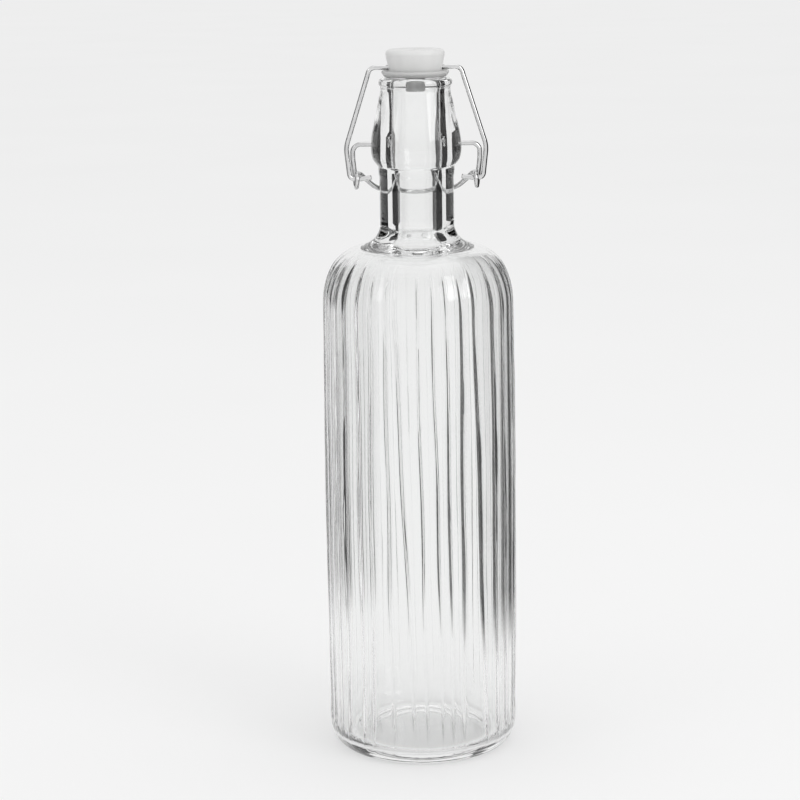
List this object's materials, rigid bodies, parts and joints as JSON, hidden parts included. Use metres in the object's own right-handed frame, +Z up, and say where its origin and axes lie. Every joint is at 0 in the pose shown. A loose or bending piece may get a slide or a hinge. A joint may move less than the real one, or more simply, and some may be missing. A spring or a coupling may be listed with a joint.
{
  "type": "swing-top growler bottle",
  "caption": "Clear fluted glass growler of about one litre with a steel wire swing-top closure, white stopper and silicone seal.",
  "frame": {"origin": "centre of the base, on the surface that the bottle stands on", "axes": "+Z up along the bottle; +X through the two lever dimples, to the right seen from the front; +Y to the back, where the lever's thumb loop lies"},
  "size_m": [0.0854, 0.0854, 0.3073],
  "materials": {
    "glass": "clear, smooth, fluted outside",
    "lever_wire": "bright drawn stainless wire",
    "bail_wire": "bright drawn stainless wire",
    "stopper": "satin moulded, slightly translucent",
    "seal": "translucent grey silicone"
  },
  "bodies": {
    "bottle": {"glass_bottle": "glass"},
    "lever": {"locking_lever": "lever_wire"},
    "bail": {"top_bail": "bail_wire"},
    "stopper": {"stopper_cap": "stopper", "seal_washer": "seal"}
  },
  "joints": [
    {"name": "lever_swing", "type": "hinge", "parent": "bottle", "child": "lever", "pos_m": [0, 0, 0.2671], "axis": [1, 0, 0], "range_deg": [0, 100]},
    {"name": "bail_pivot", "type": "hinge", "parent": "lever", "child": "bail", "pos_m": [0, -0.00154, 0.25243], "axis": [1, 0, 0], "range_deg": [-68.8, 0]},
    {"name": "stopper_pivot", "type": "hinge", "parent": "bail", "child": "stopper", "pos_m": [0, 0, 0.2996], "axis": [1, 0, 0], "range_deg": [-31.3, 0]}
  ],
  "couplings": [
    {"joint": "bail_pivot", "follows": "lever_swing", "ratio": -0.68746},
    {"joint": "stopper_pivot", "follows": "lever_swing", "ratio": -0.31254}
  ]
}
